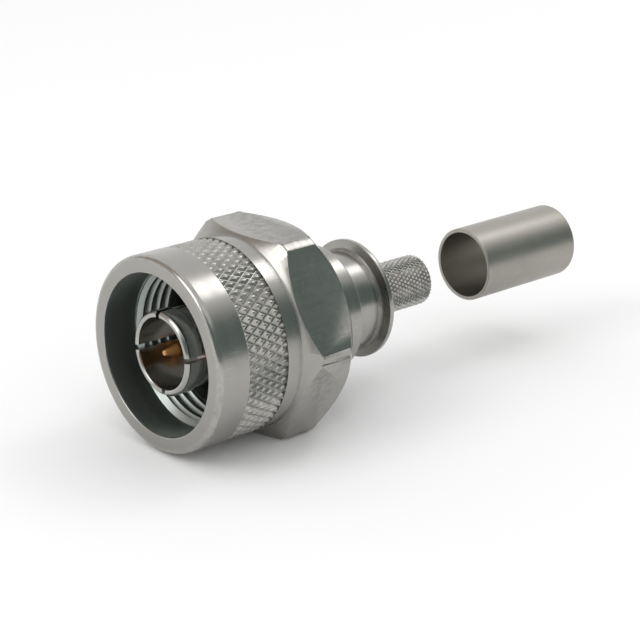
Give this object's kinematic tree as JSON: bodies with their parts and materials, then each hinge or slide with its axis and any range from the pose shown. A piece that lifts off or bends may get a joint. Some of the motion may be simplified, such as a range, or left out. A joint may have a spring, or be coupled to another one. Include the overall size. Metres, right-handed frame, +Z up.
{
  "type": "n type coaxial crimp plug",
  "caption": "Straight coaxial plug with a knurled hexagonal coupling nut, slotted spring fingers round a gold pin, and a knurled stem with a loose crimp ferrule.",
  "frame": {"origin": "on the connector's axis at the front end of the outer contact, which is the plug's mating reference plane", "axes": "+X along the connector's axis, towards the cable; +Z up, with a flat of the hexagon underneath"},
  "size_m": [0.0545, 0.0226, 0.02],
  "materials": {
    "nut_nickel": "satin nickel plate, turned",
    "body_nickel": "bright nickel plate",
    "contact_nickel": "smooth nickel plate",
    "ferrule_nickel": "satin nickel plate, drawn",
    "gold_plate": "gold plate",
    "ptfe": "white PTFE",
    "silicone": "black silicone rubber"
  },
  "bodies": {
    "connector": {"connector_body": "body_nickel", "outer_contact": "contact_nickel", "centre_contact": "gold_plate", "front_insulator": "ptfe", "rear_insulator": "ptfe", "gasket": "silicone", "snap_ring": "body_nickel"},
    "nut": {"coupling_nut": "nut_nickel"},
    "ferrule": {"crimp_ferrule": "ferrule_nickel"}
  },
  "joints": [
    {"name": "nut_turn", "type": "hinge", "parent": "connector", "child": "nut", "pos_m": [0.0125, 0, 0], "axis": [1, 0, 0], "continuous": true},
    {"name": "ferrule_slide", "type": "slide", "parent": "connector", "child": "ferrule", "axis": [1, 0, 0], "range_m": [-0.01585, 0]}
  ]
}
